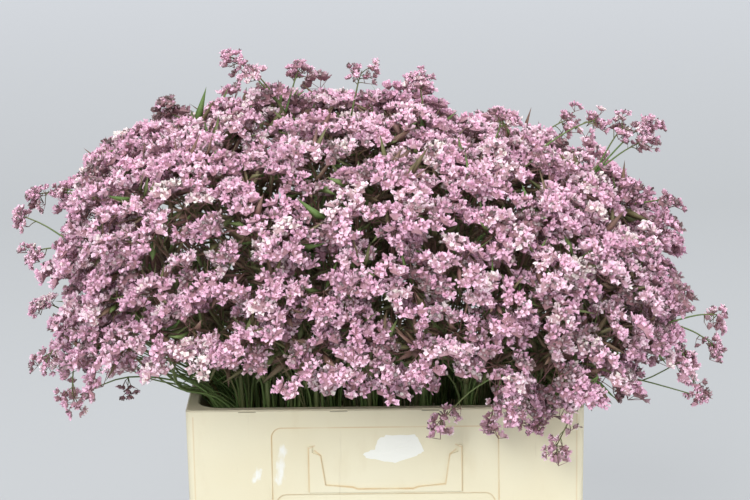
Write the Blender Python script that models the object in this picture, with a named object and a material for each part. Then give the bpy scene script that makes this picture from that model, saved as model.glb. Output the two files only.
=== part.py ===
"""Dried pink statice standing in a cut-flower crate.

Metres, +Z up. The origin is the centre of the crate's underside, +X runs along its longer side, and -Y is its
front. Every stem stands on the crate's floor and fans out over the rim into a domed canopy of flat sprays.
"""

import math

import bmesh
import bpy
import numpy as np

# The crate.
CRATE_LENGTH = 0.400
CRATE_WIDTH = 0.300
CRATE_HEIGHT = 0.300
DRAFT = math.tan(math.radians(0.9))
WALL = 0.0045
RIM_WIDTH = 0.012
RIM_THICKNESS = 0.005
EDGE_BREAK = 0.0015
OUTER_CORNER = 0.007
OPENING_CORNER = 0.026
CORNER_STEPS = 4

# The pressed panel, label holder and grip on the crate's long sides.
PANEL_HALF_WIDTH = 0.114
PANEL_TOP = 0.281
PANEL_BOTTOM = 0.040
PANEL_CORNER = 0.010
PANEL_DEPTH = 0.0012
PANEL_SLOPE = 0.0012
GRIP_HALF_WIDTH = 0.110
GRIP_TOP = 0.211
GRIP_BOTTOM = 0.150
GRIP_DEPTH = 0.0030
HOLDER_HALF_WIDTH = 0.077
HOLDER_TOP = 0.262
HOLDER_BOTTOM = 0.2135
HOLDER_STAND = 0.0008
HOLDER_POCKET = ((0.0650, 0.252), (0.0605, 0.221), (0.0330, 0.2185), (0.0280, 0.2165))
HOLDER_PEG = 0.0035
NOTCH_PLACES = (-0.138, -0.046, 0.046, 0.138)
NOTCH_WIDTH = 0.017
NOTCH_HEIGHT = 0.002
NOTCH_DEPTH = 0.0012

# The canopy: a squarish dome round a centre above the crate, a little taller on its left.
CANOPY_CENTRE = np.array([-0.006, 0.0, 0.372])
CANOPY_HALF = np.array([0.309, 0.272, 0.210])
CANOPY_SKEW = 0.006
CANOPY_DROOP = 0.090
SQUARENESS = 3.0
SQUARENESS_SKEW = 0.6
SHOULDER_FALL = 0.085
SHOULDER_PLACE = (0.010, 0.075)
TOP_FALL = 0.030
SKIRT_ANGLE = math.radians(98)
FRONT_LIFT = math.radians(4)
GAP_LIFT = math.radians(8)
GAP_DIRECTION = math.radians(-128)
GAP_SPREAD = math.radians(20)

# Stems.
STEMS = 54
FLOOR_GAP = 0.0003
FOOT_HALF = np.array([0.158, 0.110])
OPENING_HALF = np.array([0.176, 0.127])
OPENING_SQUARENESS = 4.0
OPENING_SHARE = 0.45
LIFT_CENTRE = 0.130
LIFT_EDGE = 0.066
STEM_RADIUS = 0.0024
BRANCH_RADIUS = 0.0015
TWIG_RADIUS = 0.0012
STEM_SHARES = (0.0, 0.45, 0.54, 0.63, 0.72)
FORK_SHARES = (0.63, 0.54, 0.72)
TWIG_SHARE = 0.86

# Sprays.
SPRAYS = 196
SPRAY_RADIUS = 0.040
SPRAY_FILL = 0.95
SPRAY_DEPTH = 0.05
SPRAY_TILT = 0.55
TILT_LEAST = 0.25
LOBES = 5
NOTCH_REACH = (0.74, 0.88)
RIM_RELIEF = 0.12
BUMP_REACH = (0.45, 0.65)
BUMP_HEIGHT = (0.22, 0.42)
TOP_HEIGHT = 0.16
NECK_DEPTH = 0.024
CANDIDATES = 6000
TRIALS = 20000
SEED = 13

# Long sprays that reach past the canopy: centre (x, y, z) and radius.
STRAYS = (
    ((-0.154, 0.010, 0.632), 0.016),
    ((-0.134, -0.020, 0.625), 0.011),
    ((-0.084, 0.020, 0.619), 0.016),
    ((-0.020, 0.000, 0.618), 0.018),
    ((0.037, 0.020, 0.608), 0.013),
    ((0.125, 0.000, 0.566), 0.014),
    ((0.220, 0.010, 0.562), 0.014),
    ((0.248, -0.010, 0.560), 0.014),
    ((0.274, 0.000, 0.561), 0.015),
    ((0.268, 0.000, 0.540), 0.015),
    ((0.290, -0.040, 0.485), 0.014),
    ((0.346, -0.030, 0.363), 0.014),
    ((0.338, -0.040, 0.334), 0.012),
    ((0.310, -0.060, 0.327), 0.010),
    ((0.318, -0.090, 0.294), 0.013),
    ((-0.380, 0.000, 0.472), 0.011),
    ((-0.361, 0.010, 0.490), 0.012),
    ((-0.335, 0.010, 0.496), 0.012),
    ((-0.363, -0.030, 0.438), 0.012),
    ((-0.353, -0.030, 0.385), 0.014),
    ((-0.348, -0.060, 0.330), 0.015),
    ((-0.320, -0.080, 0.299), 0.016),
    ((0.055, -0.190, 0.295), 0.013),
    ((0.105, -0.195, 0.295), 0.013),
    ((0.150, -0.190, 0.294), 0.013),
    ((0.170, -0.190, 0.269), 0.014),
    ((0.206, -0.160, 0.340), 0.012),
    ((-0.150, 0.285, 0.480), 0.016),
    ((0.120, 0.290, 0.450), 0.016),
    ((0.200, 0.190, 0.530), 0.014),
    ((-0.298, 0.030, 0.525), 0.013),
    ((-0.242, 0.040, 0.545), 0.012),
)

PLASTIC = ((0.86, 0.80, 0.61), 0.45)
BLOSSOM = ((0.72, 0.38, 0.58), 0.85)


def clear_scene():
    for obj in list(bpy.data.objects):
        bpy.data.objects.remove(obj, do_unlink=True)


def material(name, look):
    colour, roughness = look
    made = bpy.data.materials.new(name)
    made.use_nodes = True
    shader = made.node_tree.nodes["Principled BSDF"]
    shader.inputs["Base Color"].default_value = (*colour, 1.0)
    shader.inputs["Roughness"].default_value = roughness
    return made


def mesh_object(name, points, faces, look, collection=None):
    mesh = bpy.data.meshes.new(name)
    mesh.from_pydata([tuple(map(float, p)) for p in points], [], faces)
    mesh.materials.append(look)
    made = bpy.data.objects.new(name, mesh)
    (collection or bpy.context.scene.collection).objects.link(made)
    return made


def applied(obj):
    """Replace the object's mesh by its evaluated one, with every modifier applied."""
    graph = bpy.context.evaluated_depsgraph_get()
    graph.update()
    mesh = bpy.data.meshes.new_from_object(obj.evaluated_get(graph))
    obj.modifiers.clear()
    obj.data = mesh


def rounded_rectangle(half_x, half_y, radius, z):
    """The corners of a level rounded rectangle, anticlockwise from above."""
    points = []
    for quarter, (side_x, side_y) in enumerate(((1, 1), (-1, 1), (-1, -1), (1, -1))):
        for step in range(CORNER_STEPS + 1):
            turn = math.pi / 2 * (quarter + step / CORNER_STEPS)
            x = side_x * (half_x - radius) + radius * math.cos(turn)
            y = side_y * (half_y - radius) + radius * math.sin(turn)
            points.append((x, y, z))
    return points


def loft(loops):
    """One closed skin through loops of equal length, capped at both ends."""
    points = [p for loop in loops for p in loop]
    count = len(loops[0])
    faces = [tuple(reversed(range(count)))]
    for level in range(len(loops) - 1):
        for i in range(count):
            a = level * count + i
            b = level * count + (i + 1) % count
            faces.append((a, b, b + count, a + count))
    faces.append(tuple(range((len(loops) - 1) * count, len(loops) * count)))
    return points, faces


def crate_half(z, inset=0.0):
    """Half length and half width of the crate's outer wall at this height."""
    taper = (CRATE_HEIGHT - z) * DRAFT
    return CRATE_LENGTH / 2 - taper - inset, CRATE_WIDTH / 2 - taper - inset


def crate_shell():
    under_lip = CRATE_HEIGHT - RIM_THICKNESS
    top = CRATE_HEIGHT
    levels = (
        (0.0, EDGE_BREAK, OUTER_CORNER),
        (EDGE_BREAK, 0.0, OUTER_CORNER),
        (top - EDGE_BREAK, 0.0, OUTER_CORNER),
        (top, EDGE_BREAK, OUTER_CORNER),
        (top, RIM_WIDTH - EDGE_BREAK, OPENING_CORNER),
        (top - EDGE_BREAK, RIM_WIDTH, OPENING_CORNER),
        (under_lip, RIM_WIDTH, OPENING_CORNER),
        (under_lip - RIM_WIDTH, WALL, OUTER_CORNER),
        (WALL, WALL, OUTER_CORNER),
    )
    return loft([rounded_rectangle(*crate_half(z, inset), radius, z) for z, inset, radius in levels])


def face_plate(outline, side, slope, inner, outer):
    """A plate that lies along one long side: outline in (x, z), from depth inner to depth outer past the wall."""
    middle = np.array(outline).mean(axis=0)
    loops = []
    for depth, grow in ((inner, 0.0), (outer, slope)):
        loop = []
        for x, z in outline:
            reach = np.array([x, z]) - middle
            x, z = middle + reach + grow * np.sign(reach)
            loop.append((x, side * (crate_half(z)[1] + depth), z))
        loops.append(loop)
    if side < 0:
        loops.reverse()
    return loft(loops)


def rounded_panel(half_width, bottom, top, radius):
    centre = (top + bottom) / 2
    return [(x, y + centre) for x, y, _ in rounded_rectangle(half_width, (top - bottom) / 2, radius, 0.0)]


def holder_outline():
    """The label holder: a U-shaped frame with a stepped pocket that opens at the top."""
    right = [
        (HOLDER_HALF_WIDTH, HOLDER_BOTTOM),
        (HOLDER_HALF_WIDTH, HOLDER_TOP),
        (HOLDER_HALF_WIDTH - HOLDER_PEG, HOLDER_TOP),
        (HOLDER_HALF_WIDTH - HOLDER_PEG, HOLDER_TOP - 2 * HOLDER_PEG),
        *HOLDER_POCKET,
    ]
    return right + [(-x, z) for x, z in reversed(right)]


def boolean(target, points, faces, operation, look):
    tool = mesh_object("tool", points, faces, look)
    repair = bmesh.new()
    repair.from_mesh(tool.data)
    bmesh.ops.recalc_face_normals(repair, faces=repair.faces)
    repair.to_mesh(tool.data)
    repair.free()
    change = target.modifiers.new("change", "BOOLEAN")
    change.operation = operation
    change.solver = "EXACT"
    change.object = tool
    applied(target)
    bpy.data.objects.remove(tool, do_unlink=True)


def make_crate():
    look = material("crate_plastic", PLASTIC)
    crate = mesh_object("crate", *crate_shell(), look)
    margin = 0.004
    for side in (-1, 1):
        panel = rounded_panel(PANEL_HALF_WIDTH, PANEL_BOTTOM, PANEL_TOP, PANEL_CORNER)
        boolean(crate, *face_plate(panel, side, PANEL_SLOPE, -PANEL_DEPTH, margin), "DIFFERENCE", look)
        grip = rounded_panel(GRIP_HALF_WIDTH, GRIP_BOTTOM, GRIP_TOP, PANEL_CORNER)
        boolean(crate, *face_plate(grip, side, PANEL_SLOPE, -GRIP_DEPTH, margin), "DIFFERENCE", look)
        holder = holder_outline()
        inner = -PANEL_DEPTH - 2 * EDGE_BREAK
        boolean(crate, *face_plate(holder, side, 0.0, inner, HOLDER_STAND), "UNION", look)
        for place in NOTCH_PLACES:
            notch = [
                (place + across * NOTCH_WIDTH / 2, CRATE_HEIGHT + along)
                for across, along in ((-1, -NOTCH_HEIGHT), (1, -NOTCH_HEIGHT), (1, margin), (-1, margin))
            ]
            boolean(crate, *face_plate(notch, side, 0.0, -NOTCH_DEPTH, margin), "DIFFERENCE", look)
    crate.data.shade_smooth()
    crate.data.set_sharp_from_angle(angle=math.radians(35))


def polar(spots):
    """Radius and angle of map points, which lie in the unit disc."""
    return np.linalg.norm(spots, axis=-1), np.arctan2(spots[..., 1], spots[..., 0])


def squared(spots, half, squareness):
    """Map points spread over a rectangle with rounded corners."""
    reach, turn = polar(spots)
    across, along = np.cos(turn), np.sin(turn)
    stretch = (np.abs(across) ** squareness + np.abs(along) ** squareness) ** (-1 / squareness)
    return np.stack([across, along], axis=-1) * (reach * stretch)[..., None] * half


def skirt_angle(turn):
    """How far from the vertical the canopy reaches: less at the front, least over the bare front left corner."""
    front = np.clip(-np.sin(turn), 0.0, 1.0) ** 2
    apart = (turn - GAP_DIRECTION + math.pi) % (2 * math.pi) - math.pi
    return SKIRT_ANGLE - FRONT_LIFT * front - GAP_LIFT * np.exp(-((apart / GAP_SPREAD) ** 2))


def canopy(spots):
    """The canopy's surface over the map points."""
    reach, turn = polar(spots)
    fall = reach * skirt_angle(turn)
    way = np.stack([np.sin(fall) * np.cos(turn), np.sin(fall) * np.sin(turn), np.cos(fall)], axis=-1)
    half = np.broadcast_to(CANOPY_HALF, way.shape).copy()
    half[..., 0] -= CANOPY_SKEW * np.cos(turn)
    half[..., 2] = np.where(way[..., 2] < 0, CANOPY_DROOP, CANOPY_HALF[2])
    power = (SQUARENESS - SQUARENESS_SKEW * np.cos(turn))[..., None]
    size = (np.abs(way / half) ** power).sum(axis=-1) ** (-1 / power[..., 0])
    spots = CANOPY_CENTRE + way * size[..., None]
    rise = np.maximum(spots[..., 2] - CANOPY_CENTRE[2], 0)
    near, far = SHOULDER_PLACE
    across = np.clip((spots[..., 0] - near) / (far - near), 0, 1)
    spots[..., 2] -= rise * (TOP_FALL + SHOULDER_FALL * across**2 * (3 - 2 * across))
    return spots


def way_up(spot, share, depth=1.0):
    """The point at this share of the way from the floor, through the opening, to the canopy over a map point."""
    spot = np.asarray(spot, float)
    reach = np.linalg.norm(spot)
    foot = np.array([*squared(spot, FOOT_HALF, OPENING_SQUARENESS), WALL + FLOOR_GAP])
    mouth = np.array([*squared(spot, OPENING_HALF, OPENING_SQUARENESS), CRATE_HEIGHT])
    if share <= OPENING_SHARE:
        return foot + (mouth - foot) * share / OPENING_SHARE
    lift = LIFT_CENTRE + (LIFT_EDGE - LIFT_CENTRE) * reach
    bend = mouth + (mouth - foot) * lift / CRATE_HEIGHT
    tip = CANOPY_CENTRE + (canopy(spot) - CANOPY_CENTRE) * depth
    part = (share - OPENING_SHARE) / (1 - OPENING_SHARE)
    return (1 - part) ** 2 * mouth + 2 * part * (1 - part) * bend + part**2 * tip


def nearest(points, centres):
    return ((points[:, None, :] - centres[None, :, :]) ** 2).sum(axis=2).argmin(axis=1)


def relaxed(points, count, rng, rounds=40):
    """Evenly spread centres among the points, each at the middle of the points that are nearest to it."""
    centres = points[rng.choice(len(points), count, replace=False)]
    for _ in range(rounds):
        owner = nearest(points, centres)
        for k in np.unique(owner):
            centres[k] = points[owner == k].mean(axis=0)
    return centres


def unit(vector):
    return vector / np.linalg.norm(vector)


def spray_spots(rng):
    """Map points of the sprays, evenly spread over the canopy's real area."""
    trial = rng.uniform(-1, 1, (TRIALS, 2))
    trial = trial[np.linalg.norm(trial, axis=1) < 1]
    step = 1e-3
    here = canopy(trial)
    along_x = canopy(trial + np.array([step, 0])) - here
    along_y = canopy(trial + np.array([0, step])) - here
    area = np.linalg.norm(np.cross(along_x, along_y), axis=1)
    chosen = trial[rng.choice(len(trial), CANDIDATES, p=area / area.sum())]
    surface = canopy(chosen)
    return chosen[nearest(relaxed(surface, SPRAYS, rng), surface)]


def rotated(vector, axis, turn):
    """The vector turned about a unit axis that it is square to."""
    return math.cos(turn) * vector + math.sin(turn) * np.cross(axis, vector)


def plan_sprays(rng):
    """The canopy's sprays: each one's map point, depth, centre, outward normal and its way out from the middle."""
    spots = spray_spots(rng)
    depths = 1 - SPRAY_DEPTH * rng.random(len(spots))
    centres = CANOPY_CENTRE + (canopy(spots) - CANOPY_CENTRE) * depths[:, None]
    step = 1e-3
    along_x = canopy(spots + np.array([step, 0])) - canopy(spots)
    along_y = canopy(spots + np.array([0, step])) - canopy(spots)
    normals = np.cross(along_x, along_y)
    sprays = []
    for spot, depth, centre, normal in zip(spots, depths, centres, normals):
        sprays.append({
            "spot": spot,
            "depth": depth,
            "centre": centre,
            "normal": unit(normal),
            "out": unit(centre - CANOPY_CENTRE),
            "strays": [],
        })
    for spray in sprays:
        spray["outline"] = outline(spray, centres, rng)
    return sprays


def outline(spray, centres, rng):
    """Lobes and notches round a spray, out to the planes through the canopy's centre that part it from the others."""
    centre = spray["centre"]
    normal = spray["normal"]
    first = unit(np.cross(normal, rng.normal(size=3)))
    middles = unit_rows((centres + centre) / 2 - CANOPY_CENTRE)
    apart = centres - centre
    planes = apart - middles * (apart * middles).sum(axis=1)[:, None]
    own_side = -((centre - CANOPY_CENTRE) * planes).sum(axis=1)
    up = np.array([0.0, 0.0, 1.0])
    slant = SPRAY_TILT * np.clip((centre[2] - CRATE_HEIGHT) / CANOPY_HALF[2], TILT_LEAST, 1.0)
    points = []
    for k in range(2 * LOBES):
        way = rotated(first, normal, math.pi * k / LOBES)
        across = planes @ way
        reach = (own_side[across > 1e-9] / across[across > 1e-9]).min() * SPRAY_FILL
        reach = min(reach, SPRAY_RADIUS)
        reach *= rng.uniform(*NOTCH_REACH) if k % 2 else 1.0
        lift = rng.uniform(-RIM_RELIEF, RIM_RELIEF) - slant * way.dot(up)
        points.append(centre + way * reach + spray["out"] * lift * reach)
    return points


def unit_rows(vectors):
    return vectors / np.linalg.norm(vectors, axis=1)[:, None]


def spray_branch(points, radii, spray, rng):
    """A closed skin: a three-sided twig along the points that opens out into a spray of florets round its tip."""
    rim = spray["outline"]
    centre = spray["centre"]
    out = spray["out"]
    count = len(rim)
    serves = [k * 3 // count for k in range(count)]
    side = unit(sum(rim[k] - centre for k in range(serves.index(1) + 1)))
    loops = []
    for i in reversed(range(len(points))):
        along = unit(points[min(i + 1, len(points) - 1)] - points[max(i - 1, 0)])
        side = unit(side - along * side.dot(along))
        loops.append([points[i] + radii[i] * rotated(side, along, 2 * math.pi * k / 3) for k in range(3)])
    loops.reverse()
    verts = [p for loop in loops for p in loop]
    faces = [(2, 1, 0)]
    for level in range(len(loops) - 1):
        for k in range(3):
            a, b = 3 * level + k, 3 * level + (k + 1) % 3
            faces.append((a, b, b + 3, a + 3))
    ring = 3 * (len(loops) - 1)
    low = len(verts)
    verts += rim
    bump = len(verts)
    for k in range(count // 2):
        middle = centre + (rim[2 * k + 1] - centre) * rng.uniform(*BUMP_REACH)
        verts.append(middle + out * rng.uniform(*BUMP_HEIGHT) * SPRAY_RADIUS * spray.get("scale", 1.0))
    top = len(verts)
    verts.append(centre + out * TOP_HEIGHT * SPRAY_RADIUS * spray.get("scale", 1.0))
    for k in range(count):
        after = (k + 1) % count
        faces.append((ring + serves[k], low + after, low + k))
    for k in range(3):
        after = (k + 1) % 3
        faces.append((ring + k, ring + after, low + serves.index(after)))
    for k in range(count // 2):
        before = (k - 1) % (count // 2)
        lobe, notch, next_lobe = low + 2 * k, low + 2 * k + 1, low + (2 * k + 2) % count
        faces.append((lobe, notch, bump + k))
        faces.append((notch, next_lobe, bump + k))
        faces.append((bump + before, lobe, bump + k))
        faces.append((bump + before, bump + k, top))
    return verts, faces


def way_to(stem, spray, fork, share):
    """The point on a spray's way from the stem's fork."""
    part = (share - fork) / (1 - fork)
    spot = stem["spot"] + (spray["spot"] - stem["spot"]) * part
    return way_up(spot, share, stem["depth"] + (spray["depth"] - stem["depth"]) * part)


def neck(spray):
    """Where the twig under a spray begins to open out."""
    return spray["centre"] - spray["out"] * NECK_DEPTH * spray.get("scale", 1.0)


def stem_skin(stem, rng):
    main = stem["sprays"][0]
    points = [way_up(stem["spot"], share, stem["depth"]) for share in STEM_SHARES]
    points.append(way_to(stem, main, STEM_SHARES[-1], TWIG_SHARE))
    points.append(neck(main))
    return spray_branch(points, np.linspace(STEM_RADIUS, TWIG_RADIUS, len(points)), main, rng)


def branch_skin(stem, spray, fork, rng):
    points = [way_to(stem, spray, fork, share) for share in (fork, TWIG_SHARE)]
    points.append(neck(spray))
    return spray_branch(points, np.linspace(BRANCH_RADIUS, TWIG_RADIUS, len(points)), spray, rng)


def stray_skin(start, place, radius, rng):
    """A small spray on a thin twig that arches out of a canopy spray."""
    span = place - start
    bend = start + span * 0.55 + np.array([0.0, 0.0, 0.12 * np.linalg.norm(span)])
    out = unit(place - bend)
    stray = {"centre": place, "out": out, "scale": radius / SPRAY_RADIUS}
    first = unit(np.cross(out, rng.normal(size=3)))
    stray["outline"] = []
    for k in range(2 * LOBES):
        reach = radius * (rng.uniform(*NOTCH_REACH) if k % 2 else rng.uniform(0.85, 1.0))
        stray["outline"].append(place + rotated(first, out, math.pi * k / LOBES) * reach)
    points = [start, (start + 2 * bend + place) / 4, neck(stray)]
    return spray_branch(points, [BRANCH_RADIUS, TWIG_RADIUS, TWIG_RADIUS], stray, rng)


def plan_stems(rng):
    """Each stem's own map point and depth, and the sprays that it carries, the one nearest to it first."""
    sprays = plan_sprays(rng)
    spots = np.array([spray["spot"] for spray in sprays])
    ways = np.array([spray["out"] for spray in sprays])
    stem_spots = relaxed(spots, STEMS, rng)
    owner = nearest(spots, stem_spots)
    for place, radius in STRAYS:
        place = np.array(place)
        carrier = (ways @ unit(place - CANOPY_CENTRE)).argmax()
        sprays[carrier]["strays"].append((place, radius))
    stems = []
    for number, spot in enumerate(stem_spots):
        own = [sprays[k] for k in np.flatnonzero(owner == number)]
        own.sort(key=lambda spray: np.linalg.norm(spray["spot"] - spot))
        stems.append({"spot": spot, "depth": own[0]["depth"], "sprays": own})
    return stems


def union(target, pieces):
    """Join a collection's objects to the target as one body, and remove them."""
    join = target.modifiers.new("join", "BOOLEAN")
    join.operation = "UNION"
    join.operand_type = "COLLECTION"
    join.collection = pieces
    join.solver = "MANIFOLD"
    applied(target)
    for piece in list(pieces.objects):
        bpy.data.objects.remove(piece, do_unlink=True)
    bpy.data.collections.remove(pieces)


def make_stem(name, stem, look, rng):
    pieces = bpy.data.collections.new("pieces")
    made = mesh_object(name, *stem_skin(stem, rng), look)
    for order, spray in enumerate(stem["sprays"][1:]):
        fork = FORK_SHARES[order % len(FORK_SHARES)]
        mesh_object("branch", *branch_skin(stem, spray, fork, rng), look, pieces)
    for spray in stem["sprays"]:
        for place, radius in spray["strays"]:
            mesh_object("stray", *stray_skin(spray["centre"], place, radius, rng), look, pieces)
    if pieces.objects:
        union(made, pieces)
    made.data.shade_smooth()
    made.data.set_sharp_from_angle(angle=math.radians(35))


def make_stems():
    rng = np.random.default_rng(SEED)
    look = material("dried_statice", BLOSSOM)
    for number, stem in enumerate(plan_stems(rng)):
        make_stem(f"statice_{number + 1:02d}", stem, look, rng)


clear_scene()
make_crate()
make_stems()
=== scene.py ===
"""Dried pink statice in a cut-flower crate: its fine flowers, materials, light and camera.

Metres, +Z up, in the frame's own place. Each stem's plain solid is replaced by one fine piece on the same
plan: the stem and its branches, with sprays of small papery florets in place of the solid ones.
"""

import functools
import math

import bpy
import numpy as np
from mathutils import Matrix, Vector


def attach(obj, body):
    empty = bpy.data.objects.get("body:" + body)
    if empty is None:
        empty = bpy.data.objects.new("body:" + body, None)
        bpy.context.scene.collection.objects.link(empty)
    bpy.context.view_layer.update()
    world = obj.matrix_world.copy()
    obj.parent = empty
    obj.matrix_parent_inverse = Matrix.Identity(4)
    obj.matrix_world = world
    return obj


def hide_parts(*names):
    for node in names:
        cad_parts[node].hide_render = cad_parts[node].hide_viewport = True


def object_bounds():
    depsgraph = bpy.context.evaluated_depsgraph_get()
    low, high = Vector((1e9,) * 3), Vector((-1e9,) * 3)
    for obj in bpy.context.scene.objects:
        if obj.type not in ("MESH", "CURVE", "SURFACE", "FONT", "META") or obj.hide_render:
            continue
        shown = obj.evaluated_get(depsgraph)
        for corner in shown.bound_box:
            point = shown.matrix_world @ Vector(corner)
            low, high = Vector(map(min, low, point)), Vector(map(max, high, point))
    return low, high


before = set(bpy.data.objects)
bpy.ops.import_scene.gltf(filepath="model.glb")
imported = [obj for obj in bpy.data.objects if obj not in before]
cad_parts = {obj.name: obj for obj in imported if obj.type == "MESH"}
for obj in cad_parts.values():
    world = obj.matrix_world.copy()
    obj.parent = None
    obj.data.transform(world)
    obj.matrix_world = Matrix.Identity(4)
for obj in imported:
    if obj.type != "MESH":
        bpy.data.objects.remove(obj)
CAD_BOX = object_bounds()
LOW, HIGH = (np.array(corner) for corner in CAD_BOX)
BOX_MARGIN = 1e-4

# The crate, and what is pressed into its long walls, as in the part's source.
CRATE_WIDTH = 0.300
CRATE_HEIGHT = 0.300
DRAFT = math.tan(math.radians(0.9))
WALL = 0.0045
PANEL_HALF_WIDTH = 0.114
PANEL_TOP = 0.281
PANEL_BOTTOM = 0.040
PANEL_CORNER = 0.010
PANEL_DEPTH = 0.0012
GRIP_HALF_WIDTH = 0.110
GRIP_TOP = 0.211
GRIP_BOTTOM = 0.150
HOLDER_HALF_WIDTH = 0.077
HOLDER_TOP = 0.262
HOLDER_BOTTOM = 0.2135
HOLDER_POCKET = ((0.0650, 0.252), (0.0605, 0.221), (0.0330, 0.2185), (0.0280, 0.2165))
NOTCH_PLACES = (0.046, 0.138)
NOTCH_WIDTH = 0.017
NOTCH_HEIGHT = 0.002

# Marks on the long walls, in (x, z): a painted shade line along the edge by the corners, painted highlight
# streaks of glare and the torn label.
LINE_WIDTH = 0.0011
EDGE_LINE = ((0.1925, 0.293), (0.1905, 0.010))
# Painted highlights: the start, end and half width of each pale streak of glare.
GLARE_STREAKS = (
    ((-0.1035, 0.2585), (-0.1065, 0.2260), 0.0042),
    ((-0.1257, 0.2380), (-0.1317, 0.2260), 0.0030),
)
LABEL = (
    (-0.0235, 0.2533), (-0.0195, 0.2487), (-0.0009, 0.2456), (0.0095, 0.2425), (0.0316, 0.2508),
    (0.0396, 0.2553), (0.0326, 0.2692), (0.0296, 0.2723), (0.0005, 0.2723), (-0.0065, 0.2692),
    (-0.0105, 0.2579),
)
LABEL_THICKNESS = 0.0003
LABEL_EDGE_NOISE = 0.00045

# The canopy, a squarish dome round a centre above the crate, as in the part's source.
CANOPY_CENTRE = np.array([-0.006, 0.0, 0.372])
CANOPY_HALF = np.array([0.309, 0.272, 0.210])
CANOPY_SKEW = 0.006
CANOPY_DROOP = 0.090
SQUARENESS = 3.0
SQUARENESS_SKEW = 0.6
SHOULDER_FALL = 0.085
SHOULDER_PLACE = (0.010, 0.075)
TOP_FALL = 0.030
SKIRT_ANGLE = math.radians(98)
FRONT_LIFT = math.radians(4)
GAP_LIFT = math.radians(8)
GAP_DIRECTION = math.radians(-128)
GAP_SPREAD = math.radians(20)
MAP_STEP = 1e-3

# The stems and their sprays, as in the part's source.
SEED = 13
STEMS = 54
FLOOR_GAP = 0.0003
FOOT_HALF = np.array([0.158, 0.110])
OPENING_HALF = np.array([0.176, 0.127])
OPENING_SQUARENESS = 4.0
OPENING_SHARE = 0.45
LIFT_CENTRE = 0.130
LIFT_EDGE = 0.066
STEM_SHARES = (0.0, 0.45, 0.54, 0.63, 0.72)
FORK_SHARES = (0.63, 0.54, 0.72)
TWIG_SHARE = 0.86
SPRAYS = 196
SPRAY_RADIUS = 0.040
SPRAY_FILL = 0.95
SPRAY_DEPTH = 0.05
SPRAY_TILT = 0.55
TILT_LEAST = 0.25
LOBES = 5
NOTCH_REACH = (0.74, 0.88)
RIM_RELIEF = 0.12
NECK_DEPTH = 0.024
CANDIDATES = 6000
TRIALS = 20000

# Thin sprays that reach past the canopy: the centre and radius of each.
STRAYS = (
    ((-0.154, 0.010, 0.632), 0.016), ((-0.134, -0.020, 0.625), 0.011), ((-0.084, 0.020, 0.619), 0.016),
    ((-0.020, 0.000, 0.618), 0.018), ((0.037, 0.020, 0.608), 0.013), ((0.125, 0.000, 0.566), 0.014),
    ((0.220, 0.010, 0.562), 0.014), ((0.248, -0.010, 0.560), 0.014), ((0.274, 0.000, 0.561), 0.015),
    ((0.268, 0.000, 0.540), 0.015), ((0.290, -0.040, 0.485), 0.014), ((0.346, -0.030, 0.363), 0.014),
    ((0.338, -0.040, 0.334), 0.012), ((0.310, -0.060, 0.327), 0.010), ((0.318, -0.090, 0.294), 0.013),
    ((-0.380, 0.000, 0.472), 0.011), ((-0.361, 0.010, 0.490), 0.012), ((-0.335, 0.010, 0.496), 0.012),
    ((-0.363, -0.030, 0.438), 0.012), ((-0.353, -0.030, 0.385), 0.014), ((-0.348, -0.060, 0.330), 0.015),
    ((-0.320, -0.080, 0.299), 0.016), ((0.055, -0.190, 0.295), 0.013), ((0.105, -0.195, 0.295), 0.013),
    ((0.150, -0.190, 0.294), 0.013), ((0.170, -0.190, 0.269), 0.014), ((0.206, -0.160, 0.340), 0.012),
    ((-0.150, 0.285, 0.480), 0.016), ((0.120, 0.290, 0.450), 0.016), ((0.200, 0.190, 0.530), 0.014),
    ((-0.298, 0.030, 0.525), 0.013), ((-0.242, 0.040, 0.545), 0.012),
)

# Fine stems and twigs: radii run from root to tip, and places from green at 0 to dry at 1.
CURVE_STEPS = 4
STEM_RADII = (0.0024, 0.0012)
BRANCH_RADII = (0.0015, 0.0009)
TWIG_RADII = (0.00060, 0.00045)
SPIKELET_RADII = (0.00040, 0.00030)
STRAY_RADII = (0.0010, 0.0004)
STRAY_ARCH = 0.12
TWIG_PLACES = (0.5, 0.8)
STRAY_PLACES = (0.05, 0.5)
COMPANION_RADII = (0.0009, 0.0006)
COMPANION_SHARES = (0.30, 0.92)
COMPANION_SWAY = (0.008, 0.024)

# The two long bare stems: one forks to two of the thin sprays, and one carries a small grey sprig.
BARE_RADII = (0.0013, 0.0006)
FORK_STEM = ((0.165, -0.070, 0.270), (0.203, -0.070, 0.307), (0.235, -0.073, 0.311), (0.262, -0.075, 0.307))
FORK_TIPS = ((0.310, -0.060, 0.327), (0.318, -0.090, 0.294))
SPRIG_STEM = (
    (-0.165, -0.070, 0.270), (-0.203, -0.075, 0.308), (-0.262, -0.080, 0.318), (-0.312, -0.080, 0.300),
)
SPRIG_TUFTS = ((-0.003, -0.004, -0.011), (0.003, -0.006, -0.016), (-0.001, -0.005, -0.022))
SPRIG_SIZE = 0.5

# Green blades that arch beside a stem: each point's rise over its foot, and its share of the reach.
ARCHES = 5
ARCH_START = 0.40
ARCH_RADII = (0.0015, 0.0004)
ARCH_REACH = (0.04, 0.10)
ARCH_PATH = ((0.0, 0.0), (0.050, 0.08), (0.082, 0.45), (0.090, 1.0))

# Bare stems that come over the crate's ends to the low sprays.
LOW_STEMS = 5
LOW_STEM_RADII = (0.0011, 0.0006)
LOW_REACH = 0.20
LOW_HEIGHT = 0.42
LOW_FOOT_REACH = (0.130, 0.166)
LOW_FOOT_HEIGHT = 0.270
LOW_FOOT_DEPTH = 0.115
OVER_RIM_REACH = 0.205
OVER_RIM_HEIGHT = (0.311, 0.335)

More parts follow.
